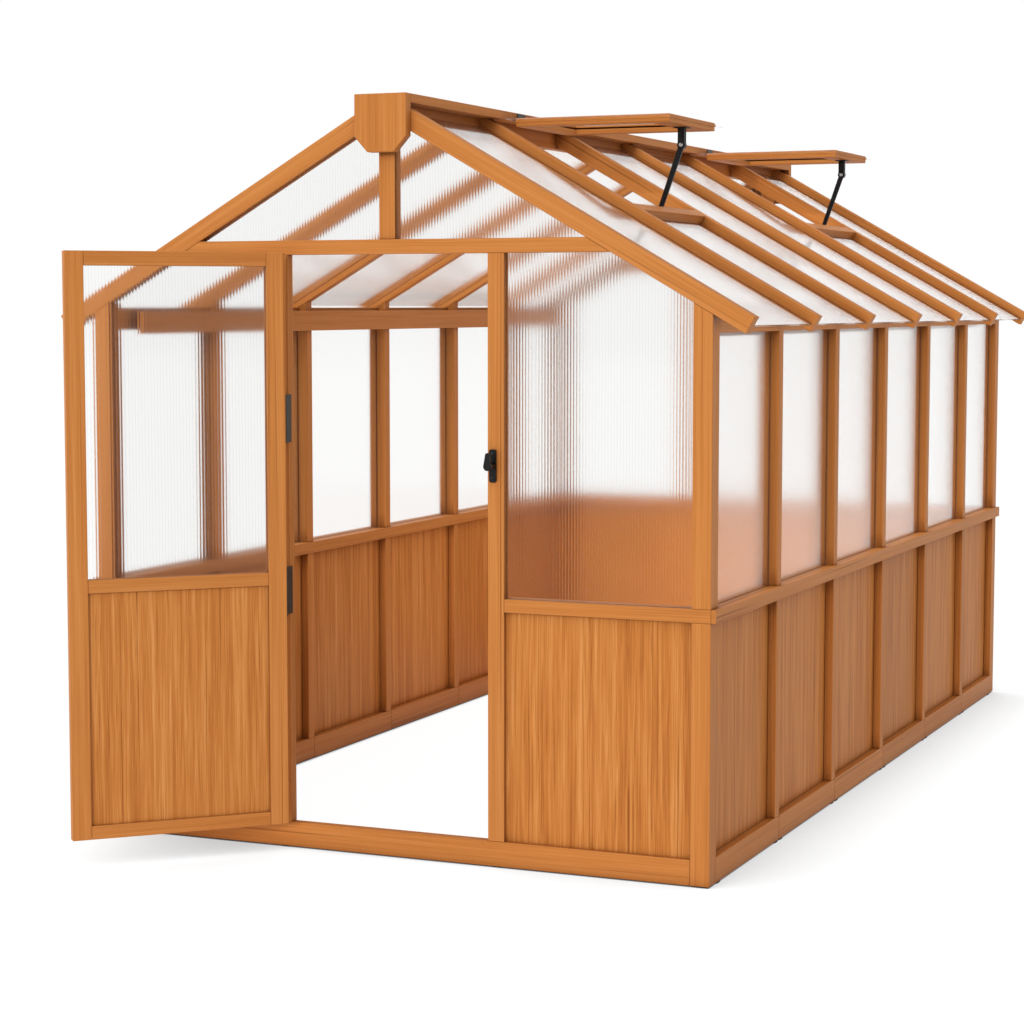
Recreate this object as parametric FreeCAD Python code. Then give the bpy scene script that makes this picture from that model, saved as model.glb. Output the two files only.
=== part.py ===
"""Walk-in wooden greenhouse: boarded below the sill, glazed with fluted sheets above it, with a pitched
roof, two opening roof vents on stays, and a side-hung door with butt hinges and a turn latch.

Millimetres. X runs across the gable, Y from the door to the rear, Z up from the ground.
The pieces are laid out with the front face of the frame at Y = 0. They are moved at the end, so that the
origin is at the middle of the floor that the greenhouse takes up with its door standing open.
"""
import FreeCAD, Part
import math
import os
from FreeCAD import Vector

# Overall sizes
WIDTH = 1950.0
LENGTH = 3660.0
BAYS = 6
BAY = LENGTH / BAYS
HALF = WIDTH / 2
FOOT_HEIGHT = 4.0
FOOT_SIZE = 46.0
RAIL_FOOT_SIZE = 25.0
RAIL_FOOT_INSET = 24.0
RAIL_JOINT = 1.2

# Walls
TIMBER = 40.0
POST_X = 56.0
POST_Y = 60.0
WALL_DEPTH = 66.0
GABLE_DEPTH = 32.0
BASE_TOP = 76.0
SILL_BOTTOM = 730.0
SILL_TOP = 768.0
SILL_NOSE = 15.0
SILL_DEPTH = 90.0
HEADER_BOTTOM = 1515.0
HEADER_TOP = 1582.0
HEADER_DEPTH = 40.0
PLATE_BOTTOM = 1503.0
PLATE_TOP = 1571.0
PLATE_THICK = 20.0
PLATE_SETBACK = 140.0
DOORWAY_HALF = 315.0
DOOR_POST = 50.0
COLLAR_BOTTOM = 1734.0
COLLAR_TOP = 1775.0
KING_HALF = 25.0
KING_SETBACK = 10.0

# Sheets and board panels, seated in grooves
SHEET = 5.0
BOARD = 12.0
SEAT = 6.0
GROOVE_GAP = 0.3
SIDE_REVEAL = 27.0
GABLE_REVEAL = 15.0

# Roof
PITCH = 29.7
RIDGE_TOP = 2181.0
RAFTER_DEPTH = 52.0
RAFTER_TIP_X = 1092.0
CAP_HALF = 81.0
CAP_THICK = 26.0
BEAM_HALF = 20.0
BEAM_BOTTOM = 2100.0
ROOF_REVEAL = 30.0
SHEET_HEAD = 52.0
SHEET_SETBACK = 14.0
BLOCK_THICK = 32.0
BLOCK_SIDE_BOTTOM = 2062.0
BLOCK_BOTTOM = 2018.0
BLOCK_FOOT_HALF = 41.0

# Roof vents, modelled open and level
VENT_BAYS = {"front": 1, "rear": 4}
VENT_AXIS_X = 87.0
VENT_AXIS_Z = 2162.5
VENT_THICK = 26.0
VENT_GAP = 4.0
VENT_REACH = 505.0
VENT_WIDE = 426.0
VENT_LAP = 5.0
VENT_STILE = 50.0
VENT_HEAD_RAIL = 50.0
VENT_FOOT_RAIL = 70.0
VENT_SHEET_DROP = 6.0
CROSSBAR_X = 503.0
CROSSBAR_WIDE = 40.0
CROSSBAR_DEPTH = 40.0
VENT_HINGE_SPREAD = 150.0
VENT_KNUCKLES = 3
VENT_KNUCKLE = 20.0
VENT_KNUCKLE_R = 3.5
VENT_PIN_R = 1.6
VENT_LEAF = 2.0
VENT_LEAF_WIDE = 26.0

# Vent stays
STAY_TOP = Vector(557.0, 0, 2082.0)
STAY_FOOT_OUT = 9.5
STAY_FOOT_DEPTH = 14.0
STAY_FOOT_R = 7.5
STAY_THICK = 6.0
STAY_HALF = 9.0
STAY_EYE_R = 13.0
STAY_PIN_R = 4.0
STAY_PLAY = 0.5
CHEEK = 5.0
BRACKET_HALF = 11.0
BRACKET_PLATE = 4.0
BRACKET_PLATE_X = 40.0
BRACKET_PLATE_Y = 44.0
KEEPER_PLATE = 4.0
KEEPER_CLEAR = 8.5
KEEPER_LONG = 34.0
KEEPER_EAR_R = 6.0

# Door, laid out closed
DOOR_HINGE_X = -309.5
DOOR_LATCH_X = 321.0
DOOR_BOTTOM = 86.0
DOOR_TOP = 1740.0
DOOR_THICK = 30.0
DOOR_STANDOFF = 2.0
DOOR_STILE = 54.0
DOOR_HEAD_RAIL = 41.0
DOOR_FOOT_RAIL = 39.0
DOOR_MID_BOTTOM = 785.0
DOOR_MID_TOP = 823.0
DOOR_AXIS = Vector(-312.25, -38.0, 0)
DOOR_OPEN = -135.0
HINGE_SPANS = ((694.0, 832.0), (1194.0, 1332.0))
HINGE_KNUCKLES = 5
KNUCKLE_R = 5.0
HINGE_PIN_R = 2.5
LEAF = 2.5
LEAF_DEPTH = 12.0
RUNNING = 0.05
KNUCKLE_GAP = 0.4

# Latch
LATCH_X = 333.0
LATCH_Z = 1142.0
LATCH_PLATE_WIDE = 20.0
LATCH_PLATE_TALL = 92.0
LATCH_PLATE_THICK = 8.0
LATCH_BOSS_R = 9.0
LATCH_BOSS_FRONT = -35.5
LATCH_PIN_R = 4.0
LEVER_FACE = -36.0
LEVER_THICK = 8.0
LEVER_LONG = 38.0
LEVER_HALF = 12.0
LEVER_TIP_HALF = 6.5

COS = math.cos(math.radians(PITCH))
SIN = math.sin(math.radians(PITCH))
SLOPE = SIN / COS
CAP_BOTTOM = RIDGE_TOP - CAP_THICK
X_AXIS = Vector(1, 0, 0)
Y_AXIS = Vector(0, 1, 0)
Z_AXIS = Vector(0, 0, 1)

nodes = {}
grooves = []


def box(x0, x1, y0, y1, z0, z1):
    return Part.makeBox(x1 - x0, y1 - y0, z1 - z0, Vector(x0, y0, z0))


def prism(points, travel):
    """Solid made by moving a flat outline along a vector."""
    return Part.Face(Part.makePolygon(points + points[:1])).extrude(travel)


def across(outline, y0, y1):
    """Prism from an outline in X and Z, running along Y."""
    return prism([Vector(x, y0, z) for x, z in outline], Vector(0, y1 - y0, 0))


def rod(radius, start, end):
    return Part.makeCylinder(radius, (end - start).Length, start, end - start)


def one(shape):
    """The single solid of a joined shape, with its seams removed."""
    clean = shape.removeSplitter()
    if len(clean.Solids) != 1:
        raise ValueError("pieces that should be one are apart")
    return clean.Solids[0]


def mirrored(solid):
    return solid.mirror(Vector(0, 0, 0), X_AXIS)


def both_sides(solids):
    return solids + [mirrored(solid) for solid in solids]


def reared(solid):
    """The same piece at the rear gable, facing the other way."""
    return solid.mirror(Vector(0, LENGTH / 2, 0), Y_AXIS)


def both_gables(solids):
    return solids + [reared(solid) for solid in solids]


def roof_z(x, depth):
    """Height of a line that runs with the rafters, so far below their top edges."""
    return RIDGE_TOP - SLOPE * abs(x) - depth / COS


def on_slope(solid):
    """Lay a solid built flat, with X down the slope and Z = 0 at the rafter tops, on the right slope."""
    return solid.rotated(Vector(0, 0, 0), Y_AXIS, PITCH).translated(Vector(0, 0, RIDGE_TOP))


def on_left_slope(solid):
    return mirrored(on_slope(solid))


def grown(outline, margin):
    """Move each edge of a convex outline, listed anticlockwise, outwards by a margin."""
    count = len(outline)
    lines = []
    for i in range(count):
        (a0, b0), (a1, b1) = outline[i], outline[(i + 1) % count]
        length = math.hypot(a1 - a0, b1 - b0)
        normal = ((b1 - b0) / length, (a0 - a1) / length)
        lines.append((normal, normal[0] * a0 + normal[1] * b0 + margin))
    points = []
    for i in range(count):
        (p, c), (q, d) = lines[i - 1], lines[i]
        cross = p[0] * q[1] - p[1] * q[0]
        points.append(((c * q[1] - d * p[1]) / cross, (p[0] * d - q[0] * c) / cross))
    return points


def seated(outline, low, high, plane, place=None):
    """A sheet or board panel that fills an opening and enters the grooves round it.

    The outline is the opening in the two axes of the plane. Its groove is kept for the timbers.
    """
    made = []
    for margin, gap in ((SEAT, 0.0), (SEAT + GROOVE_GAP, GROOVE_GAP)):
        points = grown(outline, margin)
        start = low - gap
        travel = high - low + 2 * gap
        if plane == "XZ":
            solid = prism([Vector(a, start, b) for a, b in points], Y_AXIS * travel)
        elif plane == "YZ":
            solid = prism([Vector(start, a, b) for a, b in points], X_AXIS * travel)
        else:
            solid = prism([Vector(a, b, start) for a, b in points], Z_AXIS * travel)
        made.append(place(solid) if place else solid)
    grooves.append(made[1])
    return made[0]


def opening(a0, a1, b0, b1):
    return [(a0, b0), (a1, b0), (a1, b1), (a0, b1)]


def keep_mirror(sheets):
    """Left-hand twins of sheets on the right, with their grooves."""
    grooves.extend([mirrored(groove) for groove in grooves[-len(sheets):]])
    return [mirrored(sheet) for sheet in sheets]


def grooved(solid):
    for groove in grooves:
        if solid.BoundBox.intersect(groove.BoundBox):
            solid = solid.cut(groove)
    return solid.Solids[0]


# Stations along the side walls: the near faces of the studs, and the clear bays between timbers
stud_starts = [BAY * k for k in range(1, BAYS)]
wall_bays = list(zip([POST_Y] + [y + TIMBER for y in stud_starts], stud_starts + [LENGTH - POST_Y]))
roof_bays = list(zip([TIMBER] + [y + TIMBER for y in stud_starts], stud_starts + [LENGTH - TIMBER]))
post_in = HALF - POST_X
wall_in = HALF - WALL_DEPTH
door_post_out = DOORWAY_HALF + DOOR_POST

# Base rails on their foot pads. The side rails meet at the far face of each stud, with a hairline between.
rail = box(-post_in, post_in, 0, GABLE_DEPTH, FOOT_HEIGHT, BASE_TOP)
nodes["gable_base_rails"] = both_gables([rail])
rail_ends = [POST_Y] + [y + TIMBER for y in stud_starts] + [LENGTH - POST_Y]
side_rails = []
for y0, y1 in zip(rail_ends, rail_ends[1:]):
    start = y0 if y0 == rail_ends[0] else y0 + RAIL_JOINT / 2
    end = y1 if y1 == rail_ends[-1] else y1 - RAIL_JOINT / 2
    side_rails.append(box(wall_in, HALF, start, end, FOOT_HEIGHT, BASE_TOP))
nodes["side_base_rails"] = both_sides(side_rails)


def foot(x, y, size):
    return box(x - size / 2, x + size / 2, y - size / 2, y + size / 2, 0, FOOT_HEIGHT)


# Pads under the corners, under the door posts, and near both ends of each side rail
corner_feet = both_gables([foot(HALF - POST_X / 2, POST_Y / 2, FOOT_SIZE)])
gable_foot_y = GABLE_DEPTH - RAIL_FOOT_SIZE / 2
gable_feet = both_gables([foot(DOORWAY_HALF + DOOR_POST / 2, gable_foot_y, RAIL_FOOT_SIZE)])
rail_feet = []
for y0, y1 in zip(rail_ends, rail_ends[1:]):
    for y in (y0 + RAIL_FOOT_INSET, y1 - RAIL_FOOT_INSET):
        rail_feet.append(foot(HALF - RAIL_FOOT_SIZE / 2, y, RAIL_FOOT_SIZE))
nodes["foot_pads"] = both_sides(corner_feet + gable_feet + rail_feet)

# Corner posts, in two lengths with the sill between them
lower_post = box(post_in, HALF, 0, POST_Y, FOOT_HEIGHT, SILL_BOTTOM)
nodes["lower_corner_posts"] = both_sides(both_gables([lower_post]))


def up_to_rafter(x0, x1, y0, y1):
    """Upright from the sill to the underside of the rafter, cut to the slope."""
    under0 = roof_z(x0, RAFTER_DEPTH)
    under1 = roof_z(x1, RAFTER_DEPTH)
    return across([(x0, SILL_TOP), (x1, SILL_TOP), (x1, under1), (x0, under0)], y0, y1)


nodes["upper_corner_posts"] = both_sides(both_gables([up_to_rafter(post_in, HALF, 0, POST_Y)]))

# Side studs, below and above the sill
lower_studs = [box(wall_in, HALF, y, y + TIMBER, BASE_TOP, SILL_BOTTOM) for y in stud_starts]
upper_studs = [up_to_rafter(wall_in, HALF, y, y + TIMBER) for y in stud_starts]
nodes["lower_studs"] = both_sides(lower_studs)
nodes["upper_studs"] = both_sides(upper_studs)

# Side sills, proud of the wall outside, whose noses run on past the corner posts
sill_in = HALF + SILL_NOSE - SILL_DEPTH
sill_body = box(sill_in, HALF, POST_Y, LENGTH - POST_Y, SILL_BOTTOM, SILL_TOP)
sill_nose = box(HALF, HALF + SILL_NOSE, 0, LENGTH, SILL_BOTTOM, SILL_TOP)
nodes["right_sill"] = [one(sill_body.fuse(sill_nose))]
nodes["left_sill"] = [mirrored(nodes["right_sill"][0])]

# Gable sills, between the door posts and over the corners
front_sill = box(door_post_out, HALF, 0, POST_Y, SILL_BOTTOM, SILL_TOP)
nodes["front_sills"] = both_sides([front_sill])
rear_middle_sill = reared(box(-DOORWAY_HALF, DOORWAY_HALF, 0, POST_Y, SILL_BOTTOM, SILL_TOP))
nodes["rear_sills"] = both_sides([reared(front_sill)]) + [rear_middle_sill]

# Posts beside the doorway, and their twins in the closed rear gable
latch_post = box(DOORWAY_HALF, door_post_out, 0, GABLE_DEPTH, BASE_TOP, COLLAR_BOTTOM)
nodes["door_latch_post"] = [latch_post]
nodes["door_hinge_post"] = [mirrored(latch_post)]
nodes["rear_posts"] = both_sides([reared(latch_post)])

# Collars over the posts, cut to the rafters' undersides
collar_low = (RIDGE_TOP - RAFTER_DEPTH / COS - COLLAR_BOTTOM) / SLOPE
collar_high = (RIDGE_TOP - RAFTER_DEPTH / COS - COLLAR_TOP) / SLOPE
collar_outline = [
    (-collar_low, COLLAR_BOTTOM), (collar_low, COLLAR_BOTTOM),
    (collar_high, COLLAR_TOP), (-collar_high, COLLAR_TOP),
]
nodes["collars"] = both_gables([across(collar_outline, 0, TIMBER)])
king = box(-KING_HALF, KING_HALF, KING_SETBACK, KING_SETBACK + TIMBER, COLLAR_TOP, BEAM_BOTTOM)
nodes["king_posts"] = both_gables([king])

# Rafters, with a plumb cut against the ridge beam, a level cut under the cap and a square-cut tip
level_x = (RIDGE_TOP - CAP_BOTTOM) / SLOPE
rafter_outline = [
    (BEAM_HALF, roof_z(BEAM_HALF, RAFTER_DEPTH)),
    (RAFTER_TIP_X - RAFTER_DEPTH * SIN, roof_z(RAFTER_TIP_X, 0) - RAFTER_DEPTH * COS),
    (RAFTER_TIP_X, roof_z(RAFTER_TIP_X, 0)),
    (level_x, CAP_BOTTOM),
    (BEAM_HALF, CAP_BOTTOM),
]
nodes["gable_rafters"] = both_sides(both_gables([across(rafter_outline, 0, TIMBER)]))
nodes["right_rafters"] = [across(rafter_outline, y, y + TIMBER) for y in stud_starts]
nodes["left_rafters"] = [mirrored(rafter) for rafter in nodes["right_rafters"]]

# Ridge: beam between the rafters, flat cap board over them, and a shaped block on each gable
nodes["ridge_beam"] = [box(-BEAM_HALF, BEAM_HALF, 0, LENGTH, BEAM_BOTTOM, CAP_BOTTOM)]
nodes["ridge_cap"] = [box(-CAP_HALF, CAP_HALF, 0, LENGTH, CAP_BOTTOM, RIDGE_TOP)]
block_outline = [
    (-BLOCK_FOOT_HALF, BLOCK_BOTTOM), (BLOCK_FOOT_HALF, BLOCK_BOTTOM), (CAP_HALF, BLOCK_SIDE_BOTTOM),
    (CAP_HALF, RIDGE_TOP), (-CAP_HALF, RIDGE_TOP), (-CAP_HALF, BLOCK_SIDE_BOTTOM),
]
nodes["ridge_blocks"] = both_gables([across(block_outline, -BLOCK_THICK, 0)])

# Eave headers between the studs under the roof sheets, and plates along the studs' inner faces
header_in = HALF - HEADER_DEPTH
headers = [box(header_in, HALF, y0, y1, HEADER_BOTTOM, HEADER_TOP) for y0, y1 in wall_bays]
nodes["eave_headers"] = both_sides(headers)
plate_end = LENGTH - PLATE_SETBACK
plate = box(wall_in - PLATE_THICK, wall_in, PLATE_SETBACK, plate_end, PLATE_BOTTOM, PLATE_TOP)
nodes["wall_plates"] = both_sides([plate])

# Crossbars that close the roof sheets below each vent, flush with the rafter tops
crossbar_s = CROSSBAR_X / COS
nodes["vent_crossbars"] = []
for bay in VENT_BAYS.values():
    y0, y1 = roof_bays[bay]
    bar = box(crossbar_s, crossbar_s + CROSSBAR_WIDE, y0, y1, -CROSSBAR_DEPTH, 0)
    nodes["vent_crossbars"].append(on_slope(bar))

# Side walls: a board panel and a sheet in each bay
side_face = HALF - SIDE_REVEAL
right_boards = []
right_sheets = []
for y0, y1 in wall_bays:
    low_opening = opening(y0, y1, BASE_TOP, SILL_BOTTOM)
    right_boards.append(seated(low_opening, side_face - BOARD, side_face, "YZ"))
nodes["right_wall_boards"] = right_boards
nodes["left_wall_boards"] = keep_mirror(right_boards)
for y0, y1 in wall_bays:
    high_opening = opening(y0, y1, SILL_TOP, HEADER_BOTTOM)
    right_sheets.append(seated(high_opening, side_face - SHEET, side_face, "YZ"))
nodes["right_wall_sheets"] = right_sheets
nodes["left_wall_sheets"] = keep_mirror(right_sheets)

# Gables: board panels, sheets beside the doorway and triangles over the collar
wing_boards = opening(door_post_out, post_in, BASE_TOP, SILL_BOTTOM)
wing_sheet = [
    (door_post_out, SILL_TOP), (post_in, SILL_TOP), (post_in, roof_z(post_in, RAFTER_DEPTH)),
    (collar_low, COLLAR_BOTTOM), (door_post_out, COLLAR_BOTTOM),
]
peak_sheet = [
    (KING_HALF, COLLAR_TOP), (collar_high, COLLAR_TOP), (KING_HALF, roof_z(KING_HALF, RAFTER_DEPTH)),
]
middle_boards = opening(-DOORWAY_HALF, DOORWAY_HALF, BASE_TOP, SILL_BOTTOM)
middle_sheet = opening(-DOORWAY_HALF, DOORWAY_HALF, SILL_TOP, COLLAR_BOTTOM)
front_face = GABLE_REVEAL
rear_face = LENGTH - GABLE_REVEAL

boards = [seated(wing_boards, front_face, front_face + BOARD, "XZ")]
nodes["front_boards"] = boards + keep_mirror(boards)
sheets = [seated(shape, front_face, front_face + SHEET, "XZ") for shape in (wing_sheet, peak_sheet)]
nodes["front_sheets"] = sheets + keep_mirror(sheets)
boards = [seated(wing_boards, rear_face - BOARD, rear_face, "XZ")]
nodes["rear_boards"] = boards + keep_mirror(boards)
nodes["rear_boards"].append(seated(middle_boards, rear_face - BOARD, rear_face, "XZ"))
sheets = [seated(shape, rear_face - SHEET, rear_face, "XZ") for shape in (wing_sheet, peak_sheet)]
nodes["rear_sheets"] = sheets + keep_mirror(sheets)
nodes["rear_sheets"].append(seated(middle_sheet, rear_face - SHEET, rear_face, "XZ"))

# Roof sheets between the rafters. Under a vent they start at its crossbar.
tip_s = RAFTER_TIP_X / COS - SHEET_SETBACK
sheet_low = -ROOF_REVEAL - SHEET
nodes["right_roof_sheets"] = []
nodes["left_roof_sheets"] = []
for index, (y0, y1) in enumerate(roof_bays):
    head = crossbar_s + CROSSBAR_WIDE if index in VENT_BAYS.values() else SHEET_HEAD
    right = seated(opening(head, tip_s, y0, y1), sheet_low, -ROOF_REVEAL, "XY", on_slope)
    left = seated(opening(SHEET_HEAD, tip_s, y0, y1), sheet_low, -ROOF_REVEAL, "XY", on_left_slope)
    nodes["right_roof_sheets"].append(right)
    nodes["left_roof_sheets"].append(left)

# Timbers of the frame that hold sheets or boards take their grooves
for name in (
    "gable_base_rails", "side_base_rails", "lower_corner_posts", "upper_corner_posts", "lower_studs",
    "upper_studs", "right_sill", "left_sill", "front_sills", "rear_sills", "door_latch_post",
    "door_hinge_post", "rear_posts", "collars", "king_posts", "gable_rafters", "right_rafters",
    "left_rafters", "ridge_beam", "eave_headers", "vent_crossbars",
):
    nodes[name] = [grooved(solid) for solid in nodes[name]]


def knuckles(axis_at, direction, bounds, radius, keep_even):
    """Every second barrel of a hinge, with a small gap at each end."""
    barrels = []
    for index, (start, end) in enumerate(bounds):
        if (index % 2 == 0) == keep_even:
            low = axis_at + direction * (start + KNUCKLE_GAP / 2)
            high = axis_at + direction * (end - KNUCKLE_GAP / 2)
            barrels.append(rod(radius, low, high))
    return barrels


def vent_parts(side, bay):
    """One roof vent, level as it stands open, with its hinges, bracket and stay arm."""
    y0, y1 = roof_bays[bay]
    middle = (y0 + y1) / 2
    low_y = middle - VENT_WIDE / 2
    high_y = middle + VENT_WIDE / 2
    head_x = VENT_AXIS_X + VENT_GAP
    foot_x = VENT_AXIS_X + VENT_REACH
    top = VENT_AXIS_Z
    bottom = top - VENT_THICK

    # Sheet held between the frame and its cover strips, reaching past the stiles and over the rafters
    sheet_top = top - VENT_SHEET_DROP
    sheet_bottom = sheet_top - SHEET
    sheet = box(head_x, foot_x, y0 - VENT_LAP, y1 + VENT_LAP, sheet_bottom, sheet_top)
    nodes[side + "_vent_sheet"] = [sheet]
    nodes[side + "_vent_stiles"] = []
    nodes[side + "_vent_rails"] = []
    for low, high in ((bottom, sheet_bottom), (sheet_top, top)):
        for y in (low_y, high_y - VENT_STILE):
            nodes[side + "_vent_stiles"].append(box(head_x, foot_x, y, y + VENT_STILE, low, high))
        for x, wide in ((head_x, VENT_HEAD_RAIL), (foot_x - VENT_FOOT_RAIL, VENT_FOOT_RAIL)):
            rail = box(x, x + wide, low_y + VENT_STILE, high_y - VENT_STILE, low, high)
            nodes[side + "_vent_rails"].append(rail)

    # Hinges: a leaf on the side of the cap with the pin in its middle barrel, a leaf on the vent's top
    nodes[side + "_vent_hinge_leaves"] = []
    for centre in (middle - VENT_HINGE_SPREAD, middle + VENT_HINGE_SPREAD):
        hinge_long = VENT_KNUCKLES * VENT_KNUCKLE
        near = centre - hinge_long / 2
        far = centre + hinge_long / 2
        axis_at = Vector(VENT_AXIS_X, near, VENT_AXIS_Z)
        bounds = [(i * VENT_KNUCKLE, (i + 1) * VENT_KNUCKLE) for i in range(VENT_KNUCKLES)]

        leaf_top = RIDGE_TOP - VENT_LEAF
        fixed = box(CAP_HALF, CAP_HALF + VENT_LEAF, near, far, VENT_AXIS_Z - VENT_KNUCKLE_R, leaf_top)
        slot_half = VENT_KNUCKLE / 2
        half_leaf = VENT_LEAF / 2
        web_half = slot_half - KNUCKLE_GAP
        fixed = fixed.fuse(box(
            CAP_HALF, VENT_AXIS_X, centre - web_half, centre + web_half,
            VENT_AXIS_Z - half_leaf, VENT_AXIS_Z + half_leaf,
        ))
        for barrel in knuckles(axis_at, Y_AXIS, bounds, VENT_KNUCKLE_R, False):
            fixed = fixed.fuse(barrel)
        axis_end = axis_at + Y_AXIS * hinge_long
        pin = rod(VENT_PIN_R, axis_at, axis_end)
        nodes["vent_hinge_fixed_leaves"].append(one(fixed.fuse(pin)))

        leaf = box(VENT_AXIS_X, head_x + VENT_LEAF_WIDE, near, far, top, top + VENT_LEAF)
        slot_x = VENT_AXIS_X + VENT_KNUCKLE_R + KNUCKLE_GAP
        leaf = leaf.cut(box(CAP_HALF, slot_x, centre - slot_half, centre + slot_half, bottom, RIDGE_TOP))
        for barrel in knuckles(axis_at, Y_AXIS, bounds, VENT_KNUCKLE_R, True):
            leaf = leaf.fuse(barrel)
        leaf = leaf.cut(rod(VENT_PIN_R + RUNNING, axis_at, axis_end))
        nodes[side + "_vent_hinge_leaves"].append(one(leaf))

    # Bracket under the foot rail: plate, two cheeks and the pivot pin
    pivot = STAY_TOP + Y_AXIS * middle
    half_x = BRACKET_PLATE_X / 2
    half_y = BRACKET_PLATE_Y / 2
    plate_low = bottom - BRACKET_PLATE
    bracket = box(pivot.x - half_x, pivot.x + half_x, middle - half_y, middle + half_y, plate_low, bottom)
    arm_half = STAY_THICK / 2
    inner = arm_half + STAY_PLAY
    for start in (middle - inner - CHEEK, middle + inner):
        web = box(pivot.x - BRACKET_HALF, pivot.x + BRACKET_HALF, start, start + CHEEK, pivot.z, plate_low)
        centre = Vector(pivot.x, start, pivot.z)
        bracket = bracket.fuse(web).fuse(rod(STAY_EYE_R, centre, centre + Y_AXIS * CHEEK))
    pin_reach = inner + CHEEK + STAY_PIN_R / 2
    bracket = bracket.fuse(rod(STAY_PIN_R, pivot - Y_AXIS * pin_reach, pivot + Y_AXIS * pin_reach))
    nodes[side + "_stay_bracket"] = [one(bracket)]

    # Flat tapered arm with an eye at each end, hanging on the bracket's pin
    foot_s = crossbar_s - STAY_FOOT_OUT
    foot_at = Vector(foot_s, middle, -STAY_FOOT_DEPTH)
    end = on_slope(Part.Vertex(foot_at)).Point
    near_side = Y_AXIS * arm_half
    square = Y_AXIS.cross(end - pivot).normalize()
    top_half = square * STAY_HALF
    foot_half = square * STAY_FOOT_R
    outline = [pivot + top_half, end + foot_half, end - foot_half, pivot - top_half]
    arm = prism([point - near_side for point in outline], Y_AXIS * STAY_THICK)
    for centre, radius in ((pivot, STAY_EYE_R), (end, STAY_FOOT_R)):
        arm = arm.fuse(rod(radius, centre - near_side, centre + near_side))
    for centre in (pivot, end):
        arm = arm.cut(rod(STAY_PIN_R + RUNNING, centre - near_side, centre + near_side))
    nodes[side + "_stay_arm"] = [one(arm)]

    # Keeper on the crossbar's upper face: plate, and an ear beside the arm's foot with the end of its pin
    ear_at = foot_at + Y_AXIS * (arm_half + KEEPER_CLEAR)
    ear_y = ear_at.y
    plate_s = crossbar_s - KEEPER_PLATE
    low_n = -STAY_FOOT_DEPTH - KEEPER_EAR_R
    high_n = -STAY_FOOT_DEPTH + KEEPER_EAR_R
    keeper = box(plate_s, crossbar_s, ear_y, ear_y + KEEPER_LONG, low_n, high_n)
    ear = box(foot_s, plate_s, ear_y, ear_y + CHEEK, low_n, high_n)
    keeper = keeper.fuse(ear).fuse(rod(KEEPER_EAR_R, ear_at, ear_at + Y_AXIS * CHEEK))
    keeper = keeper.fuse(rod(STAY_PIN_R, ear_at, ear_at + Y_AXIS * (CHEEK + STAY_PIN_R)))
    nodes["stay_keepers"].append(on_slope(one(keeper)))


nodes["vent_hinge_fixed_leaves"] = []
nodes["stay_keepers"] = []
for side, bay in VENT_BAYS.items():
    vent_parts(side, bay)

# Door, laid out closed in front of the posts: stiles, rails, board panel below and sheet above
door_back = -DOOR_STANDOFF
door_front = door_back - DOOR_THICK
door_middle = (door_back + door_front) / 2
stile_hinge = DOOR_HINGE_X + DOOR_STILE
stile_latch = DOOR_LATCH_X - DOOR_STILE
foot_top = DOOR_BOTTOM + DOOR_FOOT_RAIL
head_bottom = DOOR_TOP - DOOR_HEAD_RAIL
board_opening = opening(stile_hinge, stile_latch, foot_top, DOOR_MID_BOTTOM)
sheet_opening = opening(stile_hinge, stile_latch, DOOR_MID_TOP, head_bottom)
grooves.clear()
nodes["door_boards"] = [seated(board_opening, door_middle - BOARD / 2, door_middle + BOARD / 2, "XZ")]
nodes["door_sheet"] = [seated(sheet_opening, door_middle - SHEET / 2, door_middle + SHEET / 2, "XZ")]
nodes["door_stiles"] = [
    grooved(box(x0, x1, door_front, door_back, DOOR_BOTTOM, DOOR_TOP))
    for x0, x1 in ((DOOR_HINGE_X, stile_hinge), (stile_latch, DOOR_LATCH_X))
]
nodes["door_rails"] = [
    grooved(box(stile_hinge, stile_latch, door_front, door_back, z0, z1))
    for z0, z1 in ((DOOR_BOTTOM, foot_top), (DOOR_MID_BOTTOM, DOOR_MID_TOP), (head_bottom, DOOR_TOP))
]

# Butt hinges that wrap round the door's edge: leaf on the post, leaf on the door, loose pin
nodes["door_jamb_leaves"] = []
nodes["door_hinge_leaves"] = []
nodes["door_hinge_pins"] = []
for z0, z1 in HINGE_SPANS:
    step = (z1 - z0) / HINGE_KNUCKLES
    bounds = [(z0 + i * step, z0 + (i + 1) * step) for i in range(HINGE_KNUCKLES)]
    bore = rod(HINGE_PIN_R + RUNNING, DOOR_AXIS + Z_AXIS * z0, DOOR_AXIS + Z_AXIS * z1)
    jamb_leaf = box(-DOORWAY_HALF, -DOORWAY_HALF + LEAF, DOOR_AXIS.y, LEAF_DEPTH, z0, z1)
    door_leaf = box(DOOR_HINGE_X - LEAF, DOOR_HINGE_X, DOOR_AXIS.y, door_back, z0, z1)
    for leaf, even, name in ((jamb_leaf, True, "door_jamb_leaves"), (door_leaf, False, "door_hinge_leaves")):
        for index, (low, high) in enumerate(bounds):
            if (index % 2 == 0) != even:
                clear = KNUCKLE_R + KNUCKLE_GAP
                low_at = DOOR_AXIS + Z_AXIS * (low - KNUCKLE_GAP / 2)
                leaf = leaf.cut(rod(clear, low_at, low_at + Z_AXIS * (high - low + KNUCKLE_GAP)))
        for barrel in knuckles(DOOR_AXIS, Z_AXIS, bounds, KNUCKLE_R, even):
            leaf = leaf.fuse(barrel)
        nodes[name].append(one(leaf.cut(bore)))
    pin = rod(HINGE_PIN_R, DOOR_AXIS + Z_AXIS * z0, DOOR_AXIS + Z_AXIS * z1)
    head = rod(KNUCKLE_R, DOOR_AXIS + Z_AXIS * z1, DOOR_AXIS + Z_AXIS * (z1 + HINGE_PIN_R))
    nodes["door_hinge_pins"].append(one(pin.fuse(head)))

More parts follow.
